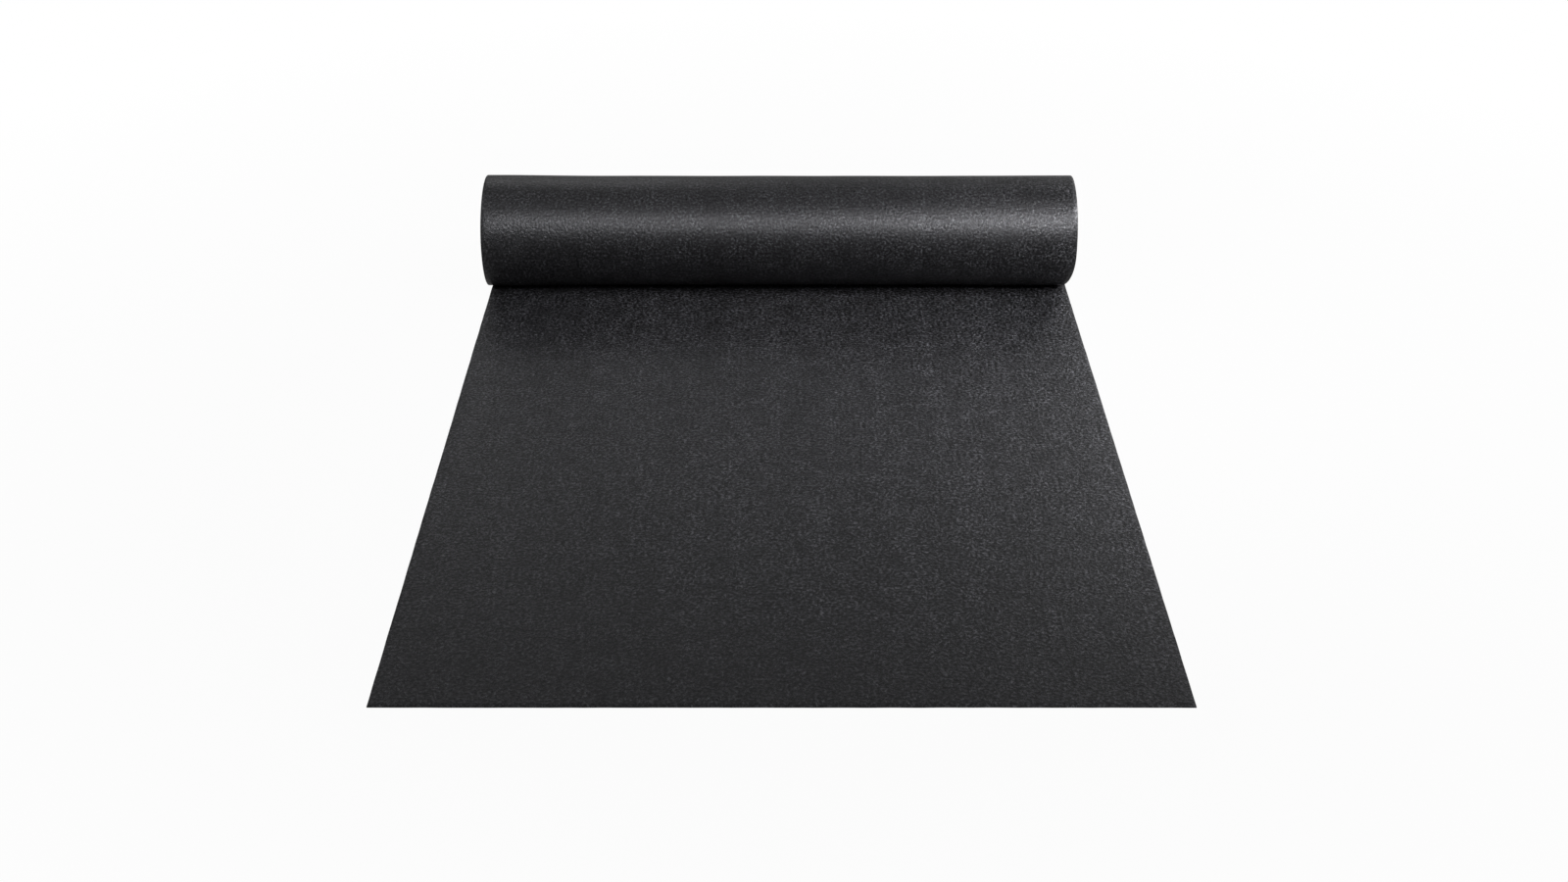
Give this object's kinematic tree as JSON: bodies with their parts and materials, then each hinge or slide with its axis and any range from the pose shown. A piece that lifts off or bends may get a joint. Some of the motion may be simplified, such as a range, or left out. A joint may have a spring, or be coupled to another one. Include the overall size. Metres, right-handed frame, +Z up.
{
  "type": "geotextile roll",
  "caption": "Partly rolled-out roll of black nonwoven geotextile. It winds in a spiral on a paperboard core and rolls along the floor as it lays or takes up its flat web.",
  "frame": {"origin": "on the floor, midway along the roll, and midway between the free end of the web and the back of the roll", "axes": "+X along the roll, +Y from the web's free end towards the roll, +Z up"},
  "size_m": [1.015, 1.3452, 0.1904],
  "materials": {
    "felt": "matte needle-punched felt",
    "board": "matte paperboard",
    "tape": "satin film"
  },
  "bodies": {
    "laid": {"laid_web": "felt"},
    "nip": {"outer_turn": "felt"},
    "roll": {"wound_web": "felt", "core_tube": "board", "start_tape": "tape"}
  },
  "joints": [
    {"name": "roll_travel", "type": "slide", "parent": "laid", "child": "nip", "axis": [0, 1, 0], "range_m": [-0.585, 0.585], "deforming": ["laid_web"]},
    {"name": "roll_turn", "type": "hinge", "parent": "nip", "child": "roll", "pos_m": [0, 0.57741, 0.09584], "axis": [1, 0, 0], "range_deg": [-360, 360]}
  ],
  "couplings": [
    {"joint": "roll_turn", "follows": "roll_travel", "rad_per_m": -10.552}
  ]
}
